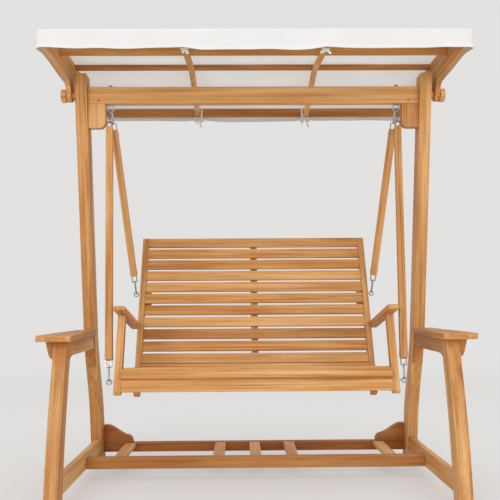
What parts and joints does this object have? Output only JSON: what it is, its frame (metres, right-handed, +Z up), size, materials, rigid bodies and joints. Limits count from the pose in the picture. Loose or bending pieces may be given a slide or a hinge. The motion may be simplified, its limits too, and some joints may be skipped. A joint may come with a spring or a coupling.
{
  "type": "garden swing bench",
  "caption": "Free-standing wooden swing bench with leaning side frames, drink shelves and a tilting cloth canopy; slatted seat hung on wooden bars.",
  "frame": {"origin": "on the floor, below the middle of the part's bounding box, in the mirror plane of the two sides", "axes": "+X to the right of the part seen from the front, -Y to the front where one sits down, +Z up"},
  "size_m": [1.8192, 1.2034, 1.9644],
  "materials": {
    "teak": "satin",
    "steel": "satin",
    "canvas": "matt"
  },
  "bodies": {
    "stand": {"rear_posts": "teak", "front_legs": "teak", "shelf_boards": "teak", "apron_rails": "teak", "apron_brackets": "teak", "shelf_knees": "teak", "base_side_rails": "teak", "front_stretcher": "teak", "rear_stretcher": "teak", "stretcher_knees": "teak", "base_slats": "teak", "top_beam": "teak", "beam_brackets": "teak", "eyebolts": "steel", "eyebolt_nuts": "steel", "pivot_bolts": "steel", "pivot_spacers": "teak"},
    "canopy": {"canopy_side_boards": "teak", "canopy_rails": "teak", "canopy_battens": "teak", "canopy_cover": "canvas", "tie_tapes": "canvas"},
    "knob_left": {"clamp_knob_left": "teak"},
    "knob_right": {"clamp_knob_right": "teak"},
    "bench": {"arm_posts": "teak", "armrests": "teak", "back_stiles": "teak", "centre_batten": "teak", "back_slats": "teak", "seat_rails": "teak", "front_rail": "teak", "nose_slat": "teak", "seat_slats": "teak", "rear_seat_slat": "teak", "eye_blocks": "teak", "bench_eyes": "steel", "front_bars": "teak", "rear_bars": "teak", "fork_straps": "steel", "fork_bolts": "steel", "snap_hooks": "steel"},
    "gate_front_top_left": {"gate_front_top_left": "steel"},
    "gate_front_top_right": {"gate_front_top_right": "steel"},
    "gate_front_low_left": {"gate_front_low_left": "steel"},
    "gate_front_low_right": {"gate_front_low_right": "steel"},
    "gate_rear_top_left": {"gate_rear_top_left": "steel"},
    "gate_rear_top_right": {"gate_rear_top_right": "steel"},
    "gate_rear_low_left": {"gate_rear_low_left": "steel"},
    "gate_rear_low_right": {"gate_rear_low_right": "steel"}
  },
  "joints": [
    {"name": "swing", "type": "hinge", "parent": "stand", "child": "bench", "pos_m": [0, 0.019, 1.71726], "axis": [1, 0, 0], "range_deg": [-25, 25]},
    {"name": "canopy_tilt", "type": "hinge", "parent": "stand", "child": "canopy", "pos_m": [0, 0.019, 1.791], "axis": [1, 0, 0], "range_deg": [-14, 14]},
    {"name": "knob_left_turn", "type": "hinge", "parent": "stand", "child": "knob_left", "pos_m": [-0.897, 0.019, 1.791], "axis": [1, 0, 0], "range_deg": [-45, 360]},
    {"name": "knob_right_turn", "type": "hinge", "parent": "stand", "child": "knob_right", "pos_m": [0.897, 0.019, 1.791], "axis": [1, 0, 0], "range_deg": [-45, 360]},
    {"name": "gate_front_top_left_spring", "type": "hinge", "parent": "bench", "child": "gate_front_top_left", "pos_m": [-0.68122, -0.00309, 1.67948], "axis": [-0.9991, -0.0114, -0.0405], "range_deg": [0, 14], "stiffness_Nm_per_rad": 0.02, "springref_deg": -20.05},
    {"name": "gate_front_top_right_spring", "type": "hinge", "parent": "bench", "child": "gate_front_top_right", "pos_m": [0.68122, -0.00309, 1.67948], "axis": [-0.9991, 0.0114, 0.0405], "range_deg": [0, 14], "stiffness_Nm_per_rad": 0.02, "springref_deg": -20.05},
    {"name": "gate_front_low_left_spring", "type": "hinge", "parent": "bench", "child": "gate_front_low_left", "pos_m": [-0.63079, -0.30691, 0.52178], "axis": [-0.9991, -0.0114, -0.0405], "range_deg": [0, 14], "stiffness_Nm_per_rad": 0.02, "springref_deg": -20.05},
    {"name": "gate_front_low_right_spring", "type": "hinge", "parent": "bench", "child": "gate_front_low_right", "pos_m": [0.63079, -0.30691, 0.52178], "axis": [-0.9991, 0.0114, 0.0405], "range_deg": [0, 14], "stiffness_Nm_per_rad": 0.02, "springref_deg": -20.05},
    {"name": "gate_rear_top_left_spring", "type": "hinge", "parent": "bench", "child": "gate_rear_top_left", "pos_m": [-0.66916, 0.0181, 1.67363], "axis": [-0.9959, 0.021, -0.0881], "range_deg": [0, 14], "stiffness_Nm_per_rad": 0.02, "springref_deg": -20.05},
    {"name": "gate_rear_top_right_spring", "type": "hinge", "parent": "bench", "child": "gate_rear_top_right", "pos_m": [0.66916, 0.0181, 1.67363], "axis": [-0.9959, -0.021, 0.0881], "range_deg": [0, 14], "stiffness_Nm_per_rad": 0.02, "springref_deg": -20.05},
    {"name": "gate_rear_low_left_spring", "type": "hinge", "parent": "bench", "child": "gate_rear_low_left", "pos_m": [-0.59684, 0.2239, 0.90563], "axis": [-0.9959, 0.021, -0.0881], "range_deg": [0, 14], "stiffness_Nm_per_rad": 0.02, "springref_deg": -20.05},
    {"name": "gate_rear_low_right_spring", "type": "hinge", "parent": "bench", "child": "gate_rear_low_right", "pos_m": [0.59684, 0.2239, 0.90563], "axis": [-0.9959, -0.021, 0.0881], "range_deg": [0, 14], "stiffness_Nm_per_rad": 0.02, "springref_deg": -20.05}
  ]
}
